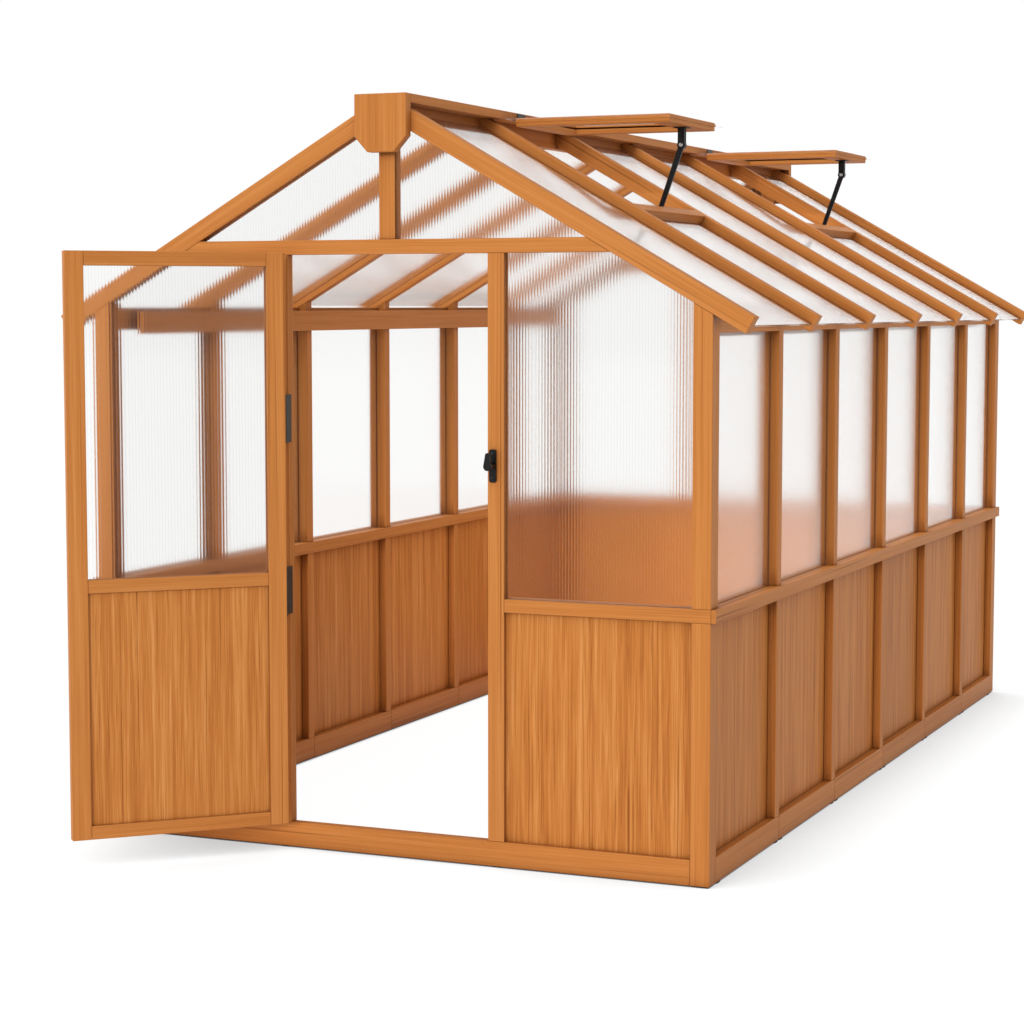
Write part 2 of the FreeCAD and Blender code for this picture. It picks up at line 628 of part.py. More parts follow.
for name in ("door_boards", "door_sheet", "door_stiles", "door_rails", "door_hinge_leaves"):
    nodes[name] = [solid.rotated(DOOR_AXIS, Z_AXIS, DOOR_OPEN) for solid in nodes[name]]

# Turn latch: plate and boss on the latch post, lever pointing up on the boss's pin
half_wide = LATCH_PLATE_WIDE / 2
half_tall = LATCH_PLATE_TALL / 2
pivot = Vector(LATCH_X, 0, LATCH_Z)
plate = box(
    LATCH_X - half_wide, LATCH_X + half_wide, -LATCH_PLATE_THICK, 0, LATCH_Z - half_tall, LATCH_Z + half_tall
)
upright = [edge for edge in plate.Edges if abs(edge.tangentAt(edge.FirstParameter).y) > 0.9]
plate = plate.makeFillet(half_wide / 2, upright)
boss = rod(LATCH_BOSS_R, pivot, pivot + Y_AXIS * LATCH_BOSS_FRONT)
pin = rod(LATCH_PIN_R, pivot, pivot + Y_AXIS * (LEVER_FACE - LEVER_THICK - RUNNING))
nodes["latch_plate"] = [one(plate.fuse(boss).fuse(pin))]

tip = pivot + Z_AXIS * (LEVER_LONG - LEVER_TIP_HALF)
lever_outline = [
    (LATCH_X - LEVER_HALF, LATCH_Z), (LATCH_X + LEVER_HALF, LATCH_Z),
    (LATCH_X + LEVER_TIP_HALF, tip.z), (LATCH_X - LEVER_TIP_HALF, tip.z),
]
lever_front = LEVER_FACE - LEVER_THICK
lever = across(lever_outline, lever_front, LEVER_FACE)
for centre, radius in ((pivot, LEVER_HALF), (tip, LEVER_TIP_HALF)):
    lever = lever.fuse(rod(radius, centre + Y_AXIS * lever_front, centre + Y_AXIS * LEVER_FACE))
hole = rod(LATCH_PIN_R + RUNNING, pivot, pivot + Y_AXIS * (LEVER_FACE - 2 * LEVER_THICK))
nodes["latch_lever"] = [one(lever.cut(hole))]

# Origin on the ground, at the middle of the box round everything
whole = Part.Compound([solid for solids in nodes.values() for solid in solids])
bounds = whole.optimalBoundingBox(False)
shift = Vector(-bounds.Center.x, -bounds.Center.y, 0)
os.makedirs("parts", exist_ok=True)
for name, solids in nodes.items():
    moved = [solid.translated(shift) for solid in solids]
    shape = moved[0] if len(moved) == 1 else Part.Compound(moved)
    shape.exportStep("parts/" + name + ".step")
    bad = [solid for solid in moved if not solid.isValid() or solid.ShapeType != "Solid"]
    print(name, len(moved), "solids", round(shape.Volume / 1e6, 3), "litres", "INVALID" if bad else "")
print("shift", shift, "box", bounds)
print(len(nodes), "nodes")
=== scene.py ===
import math
import bmesh
import bpy
from mathutils import Matrix, Vector


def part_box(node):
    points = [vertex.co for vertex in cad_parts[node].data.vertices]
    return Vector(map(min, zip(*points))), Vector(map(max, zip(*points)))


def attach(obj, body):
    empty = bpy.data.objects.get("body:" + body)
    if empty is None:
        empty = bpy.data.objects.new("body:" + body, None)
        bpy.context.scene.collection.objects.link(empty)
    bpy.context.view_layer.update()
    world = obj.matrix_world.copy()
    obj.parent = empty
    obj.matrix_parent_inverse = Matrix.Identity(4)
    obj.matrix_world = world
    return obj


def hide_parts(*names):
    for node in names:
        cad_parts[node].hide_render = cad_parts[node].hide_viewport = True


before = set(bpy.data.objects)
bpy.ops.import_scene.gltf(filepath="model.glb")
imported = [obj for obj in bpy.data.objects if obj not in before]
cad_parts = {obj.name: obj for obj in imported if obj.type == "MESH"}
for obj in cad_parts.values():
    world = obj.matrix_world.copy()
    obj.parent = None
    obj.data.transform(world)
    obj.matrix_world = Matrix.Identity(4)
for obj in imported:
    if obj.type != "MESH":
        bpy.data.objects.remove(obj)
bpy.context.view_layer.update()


# Foot pads: thin black rubber squares, nailed under the posts and near the ends of the side rails.
# They keep the timber a few millimetres off the ground, so only their edges show.
PAD_DARK = (17, 17, 18)
PAD_LIGHT = (33, 32, 32)
MOTTLE_DARK_AT = 0.35
MOTTLE_LIGHT_AT = 0.7
SKIN_FINER = 6
SKIN_STRENGTH = 0.25
GLOSS_FROM = {"From Min": 0.3, "From Max": 0.7}


def ink(red, green, blue):
    """A colour written as it is seen, turned into the linear light that the shaders use."""
    parts = [c / 255 for c in (red, green, blue)]
    return tuple(c / 12.92 if c <= 0.04045 else ((c + 0.055) / 1.055) ** 2.4 for c in parts) + (1.0,)


def finish_named(name):
    """A new finish with its nodes and its main shader."""
    finish = bpy.data.materials.new(name)
    finish.use_nodes = True
    return finish, finish.node_tree, finish.node_tree.nodes["Principled BSDF"]


def put(tree, kind, feeds, **settings):
    """Adds one node: its settings, then what feeds each of its sockets, a number or another socket."""
    made = tree.nodes.new(kind)
    for key, value in settings.items():
        setattr(made, key, value)
    for key, value in feeds.items():
        if isinstance(value, bpy.types.NodeSocket):
            tree.links.new(value, made.inputs[key])
        else:
            made.inputs[key].default_value = value
    return made


def tones(tree, value, stops):
    """A ramp of colours over a value, each stop a place and a colour."""
    ramp = put(tree, "ShaderNodeValToRGB", {"Fac": value})
    marks = ramp.color_ramp.elements
    while len(marks) < len(stops):
        marks.new(0.5)
    for mark, (place, colour) in zip(marks, stops):
        mark.position = place
        mark.color = colour
    return ramp.outputs["Color"]


def speckled(name, dark, light, speck, smooth, rough, metal, dimple):
    """Rubber, paint or bare steel: a fine mottle of colour and gloss, with a slight dimpled skin."""
    finish, tree, surface = finish_named(name)
    place = put(tree, "ShaderNodeTexCoord", {}).outputs["Object"]
    mottle = put(tree, "ShaderNodeTexNoise",
                 {"Vector": place, "Scale": 1 / speck, "Detail": 5.0, "Roughness": 0.6})
    skin = put(tree, "ShaderNodeTexNoise", {"Vector": place, "Scale": SKIN_FINER / speck, "Detail": 2.0})
    cloudy = mottle.outputs["Fac"]
    colour = tones(tree, cloudy, [(MOTTLE_DARK_AT, ink(*dark)), (MOTTLE_LIGHT_AT, ink(*light))])
    tree.links.new(colour, surface.inputs["Base Color"])
    gloss = put(tree, "ShaderNodeMapRange",
                {"Value": cloudy, "To Min": smooth, "To Max": rough, **GLOSS_FROM})
    tree.links.new(gloss.outputs["Result"], surface.inputs["Roughness"])
    bump = put(tree, "ShaderNodeBump",
               {"Height": skin.outputs["Fac"], "Strength": SKIN_STRENGTH, "Distance": dimple})
    tree.links.new(bump.outputs["Normal"], surface.inputs["Normal"])
    surface.inputs["Metallic"].default_value = metal
    return finish


def coated(nodes, finish):
    """Gives a finish to some nodes of the frame."""
    for node in nodes:
        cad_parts[node].material_slots[0].material = finish


foot_rubber = speckled("foot_rubber", PAD_DARK, PAD_LIGHT, speck=0.004, smooth=0.6, rough=0.8, metal=0.0,
                       dimple=0.0003)
coated(["foot_pads"], foot_rubber)


# Base rails: planed softwood planks on edge, stained a warm honey brown, that carry the posts and studs.
# The side rails come in bay lengths, butted on the studs, and the gable rails run across the doorway.
TIMBER_DARK = (171, 99, 44)
TIMBER_MID = (197, 125, 62)
TIMBER_LIGHT = (215, 147, 84)
TIMBER_STREAK = 0.028
TIMBER_FIGURE = 0.26
TIMBER_EASE = 0.002
TIMBER_GLOSS = {"To Min": 0.44, "To Max": 0.6}
TIMBER_SHEEN = 0.15
GRAIN_RELIEF = {"Strength": 0.2, "Distance": 0.0006}
CUTS_APART = 9.0
CUT_TINTS = {"To Min": 0.92, "To Max": 1.05}
SWAY_SIZE = (5.0, 26.0, 26.0)
BROAD_LINES = {"long": 1.6, "detail": 2.0}
FINE_LINES = {"long": 0.3, "wide": 0.0026, "detail": 3.0}
RING_LINES = {"long": 0.6, "wide": 0.009, "detail": 2.0}
DARK_LINES = {"long": 1.3, "wide": 0.005, "detail": 0.0}
BROAD_SHARE, FINE_SHARE, RING_SHARE = 0.3, 0.38, 0.32
SEAM_DARK = (0.55, 0.47, 0.4, 1.0)
SEAM_FROM, SEAM_TO = 0.2, 0.29
SEAM_AMOUNT = 0.8
# Painted shade: ambient occlusion darkens the timber's colour in corners and recesses, where shade falls.
PAINTED_SHADE_REACH = 0.06
PAINTED_SHADE_DARK = (0.5, 0.44, 0.38, 1.0)
PAINTED_SHADE_FROM, PAINTED_SHADE_TO = 0.45, 0.8
UNSHADED = (1.0, 1.0, 1.0, 1.0)
WELD_WITHIN = 0.00005
FLAT_WITHIN = math.radians(0.5)
SHARP_OVER = math.radians(35)
ACROSS_HOUSE = Vector((1, 0, 0))
ALONG_HOUSE = Vector((0, 1, 0))


def reckon(tree, work, a, b):
    """One sum worked on two values."""
    return put(tree, "ShaderNodeMath", {0: a, 1: b}, operation=work).outputs["Value"]


def darkened(tree, colour, shade, amount):
    """A colour multiplied by a shade, by some amount."""
    mix = put(tree, "ShaderNodeMix", {"Factor": amount, "A": colour, "B": shade}, data_type="RGBA",
              blend_type="MULTIPLY")
    return [s for s in mix.outputs if s.type == "RGBA"][0]


def wood(name, along, shades, streak, figure, stroke=1.0, wander=0.0, painted_corner_shade=1.0, mirrored=False):
    """Stained softwood: long streaks and fine lines that run along the timber, each timber its own cut,
    with painted shade: ambient occlusion darkens the colour in corners and recesses. A mirrored finish
    serves pairs that lean both ways."""
    finish, tree, surface = finish_named(name)

    def moved(work, a, b):
        return put(tree, "ShaderNodeVectorMath", {0: a, 1: b}, operation=work).outputs["Vector"]

    place = put(tree, "ShaderNodeTexCoord", {}).outputs["Object"]
    if mirrored:
        place = put(tree, "ShaderNodeVectorMath", {0: place}, operation="ABSOLUTE").outputs["Vector"]
    turn = along.rotation_difference(Vector((1, 0, 0))).to_euler()
    laid = put(tree, "ShaderNodeMapping", {"Vector": place, "Rotation": turn}).outputs["Vector"]
    cut = put(tree, "ShaderNodeNewGeometry", {}).outputs["Random Per Island"]
    shuffle = put(tree, "ShaderNodeTexWhiteNoise", {"W": cut}, noise_dimensions="1D").outputs["Color"]
    apart = put(tree, "ShaderNodeVectorMath", {0: shuffle, "Scale": CUTS_APART}, operation="SCALE")
    grain = moved("ADD", laid, apart.outputs["Vector"])
    if wander:
        slow = moved("MULTIPLY", grain, SWAY_SIZE)
        sway = put(tree, "ShaderNodeTexNoise", {"Vector": slow, "Scale": 1.0, "Detail": 1.0})
        grain = moved("ADD", grain, moved("MULTIPLY", sway.outputs["Color"], (0.0, wander, wander)))

    def lines(long, wide, detail):
        drawn = moved("MULTIPLY", grain, (1 / (long * stroke), 1 / wide, 1 / wide))
        noise = put(tree, "ShaderNodeTexNoise", {"Vector": drawn, "Scale": 1.0, "Detail": detail})
        return noise.outputs["Fac"]

    broad = lines(wide=streak, **BROAD_LINES)
    fine = lines(**FINE_LINES)
    rings = lines(**RING_LINES)
    dark_line = lines(**DARK_LINES)
    shares = ((broad, BROAD_SHARE), (fine, FINE_SHARE), (rings, RING_SHARE))
    parts = [reckon(tree, "MULTIPLY", part, share) for part, share in shares]
    shade = reckon(tree, "ADD", reckon(tree, "ADD", parts[0], parts[1]), parts[2])
    places = (0.5 - figure, 0.5, 0.5 + figure)
    colour = tones(tree, shade, [(place, ink(*shade_of)) for place, shade_of in zip(places, shades)])
    seam = tones(tree, dark_line, [(SEAM_FROM, SEAM_DARK), (SEAM_TO, UNSHADED)])
    lined = darkened(tree, colour, seam, SEAM_AMOUNT)
    # Painted shade: the colour is multiplied darker where ambient occlusion finds corners and recesses.
    if painted_corner_shade:
        painted_shade_ao = put(tree, "ShaderNodeAmbientOcclusion", {"Distance": PAINTED_SHADE_REACH}, samples=4)
        corner = tones(tree, painted_shade_ao.outputs["AO"], [(PAINTED_SHADE_FROM, PAINTED_SHADE_DARK), (PAINTED_SHADE_TO, UNSHADED)])
        lined = darkened(tree, lined, corner, painted_corner_shade)
    tint = put(tree, "ShaderNodeMapRange", {"Value": cut, **CUT_TINTS}).outputs["Result"]
    shaded = put(tree, "ShaderNodeHueSaturation", {"Color": lined, "Value": tint}).outputs["Color"]
    tree.links.new(shaded, surface.inputs["Base Color"])
    gloss = put(tree, "ShaderNodeMapRange", {"Value": fine, **GLOSS_FROM, **TIMBER_GLOSS}).outputs["Result"]
    tree.links.new(gloss, surface.inputs["Roughness"])
    bump = put(tree, "ShaderNodeBump", {"Height": shade, **GRAIN_RELIEF})
    tree.links.new(bump.outputs["Normal"], surface.inputs["Normal"])
    surface.inputs["Specular IOR Level"].default_value = TIMBER_SHEEN
    return finish


def timber(along, painted_corner_shade=1.0, mirrored=False):
    """The stain of the frame's timbers, with the grain along one direction."""
    shades = (TIMBER_DARK, TIMBER_MID, TIMBER_LIGHT)
    return wood("stained_timber", along, shades, TIMBER_STREAK, TIMBER_FIGURE, painted_corner_shade=painted_corner_shade, mirrored=mirrored)


def planed(nodes, finish, ease=TIMBER_EASE):
    """Gives timbers their stain, and eases their sharp edges as a planer leaves them."""
    coated(nodes, finish)
    for node in nodes:
        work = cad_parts[node].modifiers
        join = work.new("joined_faces", "WELD")
        join.merge_threshold = WELD_WITHIN
        plane = work.new("plane_faces", "DECIMATE")
        plane.decimate_type = "DISSOLVE"
        plane.angle_limit = FLAT_WITHIN
        edge = work.new("eased_edges", "BEVEL")
        edge.width = ease
        edge.segments = 2
        edge.limit_method = "ANGLE"
        edge.angle_limit = SHARP_OVER


timber_across = timber(ACROSS_HOUSE)
timber_along = timber(ALONG_HOUSE)
planed(["gable_base_rails"], timber_across)
planed(["side_base_rails"], timber_along)


# Posts and studs: square sections in two lengths, below and above the sill, grooved for boards and sheets.
# The door posts and the rear posts run from the base rail to the collar in one piece.
UPRIGHT = Vector((0, 0, 1))
timber_upright = timber(UPRIGHT)
planed(["lower_corner_posts", "upper_corner_posts", "lower_studs", "upper_studs"], timber_upright)
planed(["door_latch_post", "door_hinge_post", "rear_posts"], timber_upright)


# Sills: flat rails at waist height that cover the lower posts and carry the upper ones.
# The side sills stand a little proud of the wall, with a nose at each corner.
planed(["front_sills", "rear_sills"], timber_across)
planed(["right_sill", "left_sill"], timber_along)


# Gable heads: a collar over the doorway, a king post up to the ridge, and a pair of sloping rafters.
# A shaped block covers the joint where the rafters meet the ridge beam.
ROOF_PITCH = math.radians(29.7)
DOWN_RIGHT = Vector((math.cos(ROOF_PITCH), 0, -math.sin(ROOF_PITCH)))
planed(["collars"], timber_across)
planed(["king_posts", "ridge_blocks"], timber_upright)
planed(["gable_rafters"], timber(DOWN_RIGHT, mirrored=True))


# Roof timbers: rafters at every stud, the ridge beam with its flat cap board, headers between the studs,
# plates inside the walls, and the crossbars that close the roof openings below the two vents.
DOWN_LEFT = Vector((-math.cos(ROOF_PITCH), 0, -math.sin(ROOF_PITCH)))
planed(["right_rafters"], timber(DOWN_RIGHT))
planed(["left_rafters"], timber(DOWN_LEFT, painted_corner_shade=0.0))
planed(["ridge_beam", "ridge_cap", "eave_headers", "wall_plates", "vent_crossbars"], timber_along)


# Lower panels: glued boards with the grain upright, slid into the grooves of posts, rails and sills.
# The stain takes unevenly, so they show soft light and dark streaks a few centimetres wide.
BOARD_DARK = (160, 87, 34)
BOARD_MID = (200, 126, 60)
BOARD_LIGHT = (226, 160, 94)
BOARD_STREAK = 0.03
BOARD_FIGURE = 0.2
BOARD_EASE = 0.0004
BOARD_STROKE = 0.62
BOARD_WANDER = 0.007
boards_upright = wood("stained_boards", UPRIGHT, (BOARD_DARK, BOARD_MID, BOARD_LIGHT), BOARD_STREAK,
                      BOARD_FIGURE, BOARD_STROKE, BOARD_WANDER)
planed(["right_wall_boards", "left_wall_boards", "front_boards", "rear_boards"], boards_upright, BOARD_EASE)


# Wall sheets: clear plastic sheets with fine upright flutes, slid into the grooves above the sills.
# The flutes bend the light sideways, so what stands close behind shows sharp and the rest is drawn out.
FLUTE_PITCH = 0.009
FLUTE_DEPTH = 0.0003
FLUTE_STEPS = 6
SHEET_CLEAR = (248, 248, 247)
SHEET_RIB = (250, 250, 249)
SHEET_EDGE = (236, 238, 238)
SHEET_EDGE_BLUR = 0.5
EDGE_MOTTLE = 160.0
EDGE_MILK = {"To Min": 0.04, "To Max": 0.2}
SHEET_PASSES = (0.98, 0.98, 0.98, 1.0)
RIB_CHALK = 0.5
SHEET_BEND = 1.15
SHEET_BLUR = 0.155
SHEET_HAZE = 0.05
EDGE_ON = {"From Min": 0.65, "From Max": 0.82}
SECOND_SHEET = 1.5


def clear_sheet(name, bend, blur, rib, thin=False):
    """Clear plastic that bends light in its flutes, with pale ribs. Lamps shine straight through it,
    and a sheet seen through another is plain clear. A thin sheet doesn't mirror when it is seen edge on."""
    finish, tree, surface = finish_named(name)
    surface.inputs["Base Color"].default_value = ink(*SHEET_CLEAR)
    surface.inputs["Roughness"].default_value = blur
    surface.inputs["IOR"].default_value = bend
    surface.inputs["Transmission Weight"].default_value = 1.0
    milk = put(tree, "ShaderNodeBsdfTranslucent", {"Color": ink(*SHEET_RIB)}).outputs["BSDF"]
    chalk = put(tree, "ShaderNodeBsdfDiffuse", {"Color": ink(*SHEET_RIB)}).outputs["BSDF"]
    pale = put(tree, "ShaderNodeMixShader", {"Fac": RIB_CHALK, 1: milk, 2: chalk}).outputs["Shader"]
    web = put(tree, "ShaderNodeAttribute", {}, attribute_name="web").outputs["Fac"]
    cloud = put(tree, "ShaderNodeMapRange", {"Value": web, "To Min": 0.0, "To Max": rib}).outputs["Result"]
    ribbed = put(tree, "ShaderNodeMixShader", {"Fac": cloud, 1: surface.outputs["BSDF"], 2: pale})
    mixed = ribbed.outputs["Shader"]
    if thin:
        tilt = put(tree, "ShaderNodeLayerWeight", {"Blend": 0.5}).outputs["Facing"]
        edge_on = put(tree, "ShaderNodeMapRange", {"Value": tilt, **EDGE_ON}).outputs["Result"]
        open_air = put(tree, "ShaderNodeBsdfTransparent", {"Color": SHEET_PASSES}).outputs["BSDF"]
        mixed = put(tree, "ShaderNodeMixShader", {"Fac": edge_on, 1: mixed, 2: open_air}).outputs["Shader"]
    path = put(tree, "ShaderNodeLightPath", {}).outputs
    light = reckon(tree, "MAXIMUM", path["Is Shadow Ray"], path["Is Diffuse Ray"])
    second = reckon(tree, "GREATER_THAN", path["Ray Depth"], SECOND_SHEET)
    straight = reckon(tree, "MAXIMUM", light, second)
    passed = put(tree, "ShaderNodeBsdfTransparent", {"Color": SHEET_PASSES}).outputs["BSDF"]
    glazed = put(tree, "ShaderNodeMixShader", {"Fac": straight, 1: mixed, 2: passed})
    tree.links.new(glazed.outputs["Shader"], tree.nodes["Material Output"].inputs["Surface"])
    return finish


def sawn_edge():
    """The sawn edge of a sheet: nearly clear, with a faint milky mottle."""
    finish, tree, surface = finish_named("sheet_edge")
    surface.inputs["Base Color"].default_value = ink(*SHEET_EDGE)
    surface.inputs["Roughness"].default_value = SHEET_EDGE_BLUR
    place = put(tree, "ShaderNodeTexCoord", {}).outputs["Object"]
    mottle = put(tree, "ShaderNodeTexNoise", {"Vector": place, "Scale": EDGE_MOTTLE, "Detail": 3.0})
    milky = put(tree, "ShaderNodeMapRange", {"Value": mottle.outputs["Fac"], **EDGE_MILK}).outputs["Result"]
    open_air = put(tree, "ShaderNodeBsdfTransparent", {"Color": SHEET_PASSES}).outputs["BSDF"]
    mixed = put(tree, "ShaderNodeMixShader", {"Fac": milky, 1: open_air, 2: surface.outputs["BSDF"]})
    tree.links.new(mixed.outputs["Shader"], tree.nodes["Material Output"].inputs["Surface"])
    return finish


def outlines(node, across, along, out):
    """The corner points of each flat sheet in a node, as (across, along) pairs, with its two faces."""
    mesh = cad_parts[node].data
    spots = [tuple(round(c, 5) for c in v.co) for v in mesh.vertices]
    group = {s: s for s in spots}

    def leader(s):
        while group[s] != s:
            s = group[s]
        return s

    for face in mesh.polygons:
        first = leader(spots[face.vertices[0]])
        for corner in face.vertices[1:]:
            group[leader(spots[corner])] = first
    sheets = {}
    for s in sorted(group):
        sheets.setdefault(leader(s), []).append(Vector(s))
    for corners in sheets.values():
        heights = [c.dot(out) for c in corners]
        flat = sorted({(round(c.dot(across), 5), round(c.dot(along), 5)) for c in corners})
        yield flat, min(heights), max(heights)


def span(flat, place):
    """The lowest and highest point of a flat convex outline at one place across it."""
    ends = []
    for a in flat:
        for b in flat:
            if a[0] <= place <= b[0]:
                share = (place - a[0]) / (b[0] - a[0]) if b[0] > a[0] else 0.0
                ends.append(a[1] + share * (b[1] - a[1]))
                if b[0] == a[0]:
                    ends.append(b[1])
    return min(ends), max(ends)


def piece_from(name, shape, finishes):
    """Turns a drawn shape into a piece of the scene, with its finishes."""
    mesh = bpy.data.meshes.new(name)
    shape.to_mesh(mesh)
    shape.free()
    for finish in finishes:
        mesh.materials.append(finish)
    piece = bpy.data.objects.new(name, mesh)
    bpy.context.scene.collection.objects.link(piece)
    return piece


def fluted(name, nodes, body, along, out, finish):
    """Makes the sheets of some nodes with real flutes on their outer face, in the nodes' place."""
    across = along.cross(out)
    shape = bmesh.new()
    webs = []
    for node in nodes:
        for flat, inner, outer in outlines(node, across, along, out):
            left, right = flat[0][0], flat[-1][0]
            steps = round((right - left) / FLUTE_PITCH) * FLUTE_STEPS
            rows = []
            for k in range(steps + 1):
                place = min(right, left + (right - left) * k / steps)
                low, high = span(flat, place)
                dip = FLUTE_DEPTH * (1 - math.cos(2 * math.pi * k / FLUTE_STEPS)) / 2
                row = [(low, outer - dip), (high, outer - dip), (high, inner), (low, inner)]
                rows.append([shape.verts.new(across * place + along * b + out * c) for b, c in row])
                webs += [1.0 if k % FLUTE_STEPS == FLUTE_STEPS // 2 else 0.0] * 4
            for one, two in zip(rows, rows[1:]):
                for i in range(4):
                    j = (i + 1) % 4
                    side = shape.faces.new((one[i], two[i], two[j], one[j]))
                    side.smooth = i == 0
                    side.material_index = i % 2
            shape.faces.new(rows[0]).material_index = 1
            shape.faces.new(rows[-1][::-1]).material_index = 1
    bmesh.ops.recalc_face_normals(shape, faces=shape.faces[:])
    for edge in shape.edges:
        edge.smooth = all(f.smooth for f in edge.link_faces)
    piece = piece_from(name, shape, [finish, edge_finish])
    piece.data.attributes.new("web", "FLOAT", "POINT").data.foreach_set("value", webs)
    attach(piece, body)
    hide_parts(*nodes)


FRAME_BODY = "frame"
OUT_RIGHT = Vector((1, 0, 0))
OUT_LEFT = Vector((-1, 0, 0))
sheet_finish = clear_sheet("fluted_sheet", SHEET_BEND, SHEET_BLUR, SHEET_HAZE)
edge_finish = sawn_edge()
fluted("right_wall_glazing", ["right_wall_sheets"], FRAME_BODY, UPRIGHT, OUT_RIGHT, sheet_finish)
fluted("left_wall_glazing", ["left_wall_sheets"], FRAME_BODY, UPRIGHT, OUT_LEFT, sheet_finish)


# Gable sheets: the same fluted sheet beside the doorway and in the triangles beside the king posts,
# cut to the slope of the rafters, with the flutes upright.
OUT_FRONT = Vector((0, -1, 0))
OUT_REAR = Vector((0, 1, 0))
fluted("front_glazing", ["front_sheets"], FRAME_BODY, UPRIGHT, OUT_FRONT, sheet_finish)
fluted("rear_glazing", ["rear_sheets"], FRAME_BODY, UPRIGHT, OUT_REAR, sheet_finish)


# Roof sheets: one fluted sheet in each bay, slid between the rafters, with the flutes down the slope
# so that rain runs off along them.
UP_RIGHT_SLOPE = Vector((math.sin(ROOF_PITCH), 0, math.cos(ROOF_PITCH)))
UP_LEFT_SLOPE = Vector((-math.sin(ROOF_PITCH), 0, math.cos(ROOF_PITCH)))
ROOF_BEND = 1.4
ROOF_BLUR = 0.12
ROOF_HAZE = 0.06
roof_finish = clear_sheet("roof_sheet", ROOF_BEND, ROOF_BLUR, ROOF_HAZE)
fluted("right_roof_glazing", ["right_roof_sheets"], FRAME_BODY, DOWN_RIGHT, UP_RIGHT_SLOPE, roof_finish)
fluted("left_roof_glazing", ["left_roof_sheets"], FRAME_BODY, DOWN_LEFT, UP_LEFT_SLOPE, sheet_finish)


# Roof vents: light frames of stiles and rails with cover strips, and a clear sheet held between the two,
# which runs past the stiles so that it closes over the rafters. At rest both stand open and level.
# A thin wooden bead closes the edge between frame and strip, at both sides and the foot.
VENT_BLUR = 0.12
VENT_HAZE = 0.08
BEAD_THICK = 0.002
BEAD_LAP = 0.0015
BEAD_EASE = 0.0005
vent_finish = clear_sheet("vent_sheet", SHEET_BEND, VENT_BLUR, VENT_HAZE, thin=True)
vent_across = timber(ACROSS_HOUSE, painted_corner_shade=0.0)
vent_along = timber(ALONG_HOUSE, painted_corner_shade=0.0)


def edge_beads(vent):
    """Three thin strips over the line where a vent's sheet lies between its frame and its cover strips."""
    low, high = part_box(vent + "_vent_stiles")
    sheet_low, sheet_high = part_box(vent + "_vent_sheet")
    under, over = sheet_low.z - BEAD_LAP, sheet_high.z + BEAD_LAP
    foot = high.x + BEAD_THICK
    strips = [((low.x, low.y - BEAD_THICK), (foot, low.y)),
              ((low.x, high.y), (foot, high.y + BEAD_THICK)),
              ((high.x, low.y), (foot, high.y))]
    shape = bmesh.new()
    for (x0, y0), (x1, y1) in strips:
        centre = Vector((x0 + x1, y0 + y1, under + over)) / 2
        size = Matrix.Diagonal((x1 - x0, y1 - y0, over - under, 1.0))
        bmesh.ops.create_cube(shape, size=1.0, matrix=Matrix.Translation(centre) @ size)
    bmesh.ops.bevel(shape, geom=shape.edges[:], offset=BEAD_EASE, segments=2, profile=0.5,
                    affect="EDGES")
    piece = piece_from(vent + "_vent_beads", shape, [vent_across])
    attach(piece, vent + "_vent")


for vent in ("front", "rear"):
    planed([vent + "_vent_stiles"], vent_across)
    planed([vent + "_vent_rails"], vent_along)
    fluted(vent + "_vent_glazing", [vent + "_vent_sheet"], vent + "_vent", ACROSS_HOUSE, UPRIGHT,
           vent_finish)
    edge_beads(vent)


# Vent hinges and stays: black painted steel, a pair of butt hinges on each vent and a hinged stay arm
# that stands on the crossbar and holds the vent open.
BLACK_DARK = (7, 7, 8)
BLACK_LIGHT = (19, 19, 20)
BLACK_SHEEN = 0.25
black_steel = speckled("black_metal", BLACK_DARK, BLACK_LIGHT, speck=0.003, smooth=0.26, rough=0.42,
                       metal=0.0, dimple=0.0002)
paint = black_steel.node_tree.nodes["Principled BSDF"]
paint.inputs["Specular IOR Level"].default_value = BLACK_SHEEN
coated(["vent_hinge_fixed_leaves", "stay_keepers"], black_steel)
for vent in ("front", "rear"):
    coated([vent + "_vent_hinge_leaves", vent + "_stay_bracket", vent + "_stay_arm"], black_steel)


# Rivets and screws: domed heads of bright zinc-plated steel. A rivet closes each end of a stay's pivot,
# and small cross-slotted screws hold the moving hinge leaves to the vent frames.
ZINC_DARK = (150, 149, 147)
ZINC_LIGHT = (214, 213, 210)
RIVET_RADIUS = 0.0065
SCREW_RADIUS = 0.0036
HEAD_SINK = -0.06
HEAD_ROUND = [(1.0, HEAD_SINK), (0.98, 0.18), (0.82, 0.42), (0.55, 0.56)]
SLOT_LONG = 0.46
SLOT_NARROW = 0.16
SLOT_FLOOR = 0.24
CROWN_SHARE = 0.2
CROWN_RISE = 0.06
HEAD_SIDES = 16
bright_zinc = speckled("bright_zinc", ZINC_DARK, ZINC_LIGHT, speck=0.002, smooth=0.22, rough=0.36,
                       metal=1.0, dimple=0.0001)


